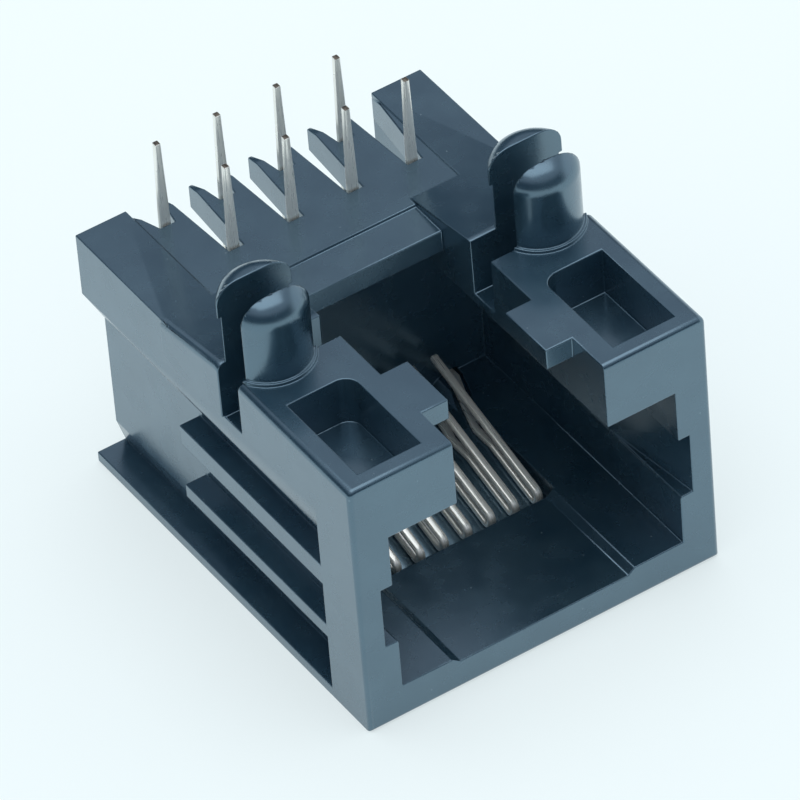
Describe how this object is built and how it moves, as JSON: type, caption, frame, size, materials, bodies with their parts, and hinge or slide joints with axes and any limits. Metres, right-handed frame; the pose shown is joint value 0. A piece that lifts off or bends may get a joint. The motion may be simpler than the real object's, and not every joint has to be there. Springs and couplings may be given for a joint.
{
  "type": "rj45 board jack",
  "caption": "Side-entry modular jack that solders flat onto a circuit board, with an open plug cavity, latch window, split snap pegs and a row of sloping spring contacts.",
  "frame": {"origin": "middle of the footprint on the flat face, with the jack lying on that face as pictured", "axes": "+Z from the flat face to the circuit board side with the pegs and pins, +Y from the mouth to the rear, so the plug goes in along +Y and the mouth looks along -Y"},
  "size_m": [0.015, 0.0178, 0.0148],
  "materials": {
    "housing_plastic": "fine satin moulding, black",
    "contact_metal": "phosphor bronze with a bright tin plating"
  },
  "bodies": {
    "root": {"housing": "housing_plastic", "contact_1": "contact_metal", "contact_2": "contact_metal", "contact_3": "contact_metal", "contact_4": "contact_metal", "contact_5": "contact_metal", "contact_6": "contact_metal", "contact_7": "contact_metal", "contact_8": "contact_metal"}
  },
  "joints": []
}
